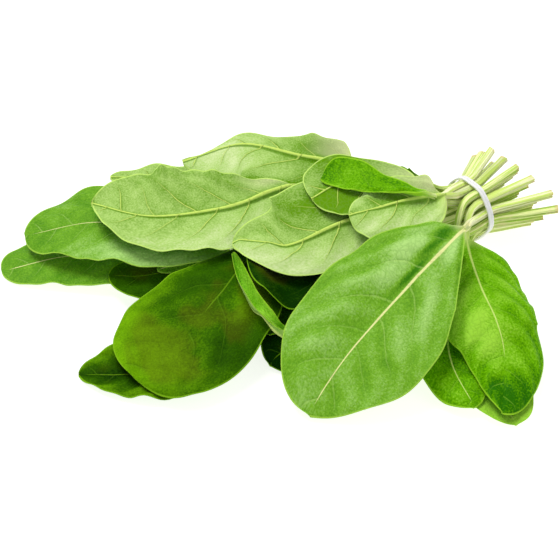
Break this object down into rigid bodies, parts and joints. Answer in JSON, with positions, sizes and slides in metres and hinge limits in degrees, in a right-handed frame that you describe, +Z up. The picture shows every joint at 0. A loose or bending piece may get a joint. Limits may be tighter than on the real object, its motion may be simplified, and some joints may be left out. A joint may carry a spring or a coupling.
{
  "type": "bunch of sorrel leaves",
  "caption": "Bunch of cut sorrel leaves with their stems, tied near the cut ends with a doubled elastic band, lying on its side.",
  "frame": {"origin": "on the surface that the bunch lies on, under the middle of its box", "axes": "+X along the bunch, from the leaf tips to the cut stems; +Y away from the side over which the front leaves hang; +Z up"},
  "size_m": [0.2922, 0.1934, 0.0549],
  "materials": {
    "leaf_top": "waxy, slightly glossy green leaf, top side up, with pale stem",
    "leaf_underside": "matte pale green leaf, underside up, with raised veins and pale stem",
    "elastic": "matte white elastic"
  },
  "bodies": {
    "root": {"leaf_low_left": "leaf_top", "leaf_low_front": "leaf_top", "leaf_low_right": "leaf_top", "leaf_heap_01": "leaf_underside", "leaf_dark_tip": "leaf_top", "leaf_heap_02": "leaf_top", "leaf_under_right": "leaf_top", "leaf_heap_03": "leaf_underside", "leaf_heap_04": "leaf_underside", "leaf_heap_05": "leaf_top", "leaf_beside_hanging": "leaf_top", "leaf_heap_07": "leaf_underside", "leaf_heap_06": "leaf_top", "leaf_back_tip": "leaf_underside", "leaf_small_tip": "leaf_top", "leaf_left": "leaf_top", "leaf_hanging": "leaf_top", "leaf_creased": "leaf_top", "leaf_back": "leaf_underside", "leaf_olive": "leaf_top", "leaf_dark": "leaf_top", "leaf_upper_left": "leaf_underside", "leaf_heap_08": "leaf_top", "leaf_right": "leaf_top", "leaf_back_right": "leaf_top", "leaf_middle": "leaf_underside", "leaf_short": "leaf_underside", "leaf_puckered": "leaf_underside", "leaf_folded": "leaf_top", "leaf_front": "leaf_top", "band": "elastic"}
  },
  "joints": []
}
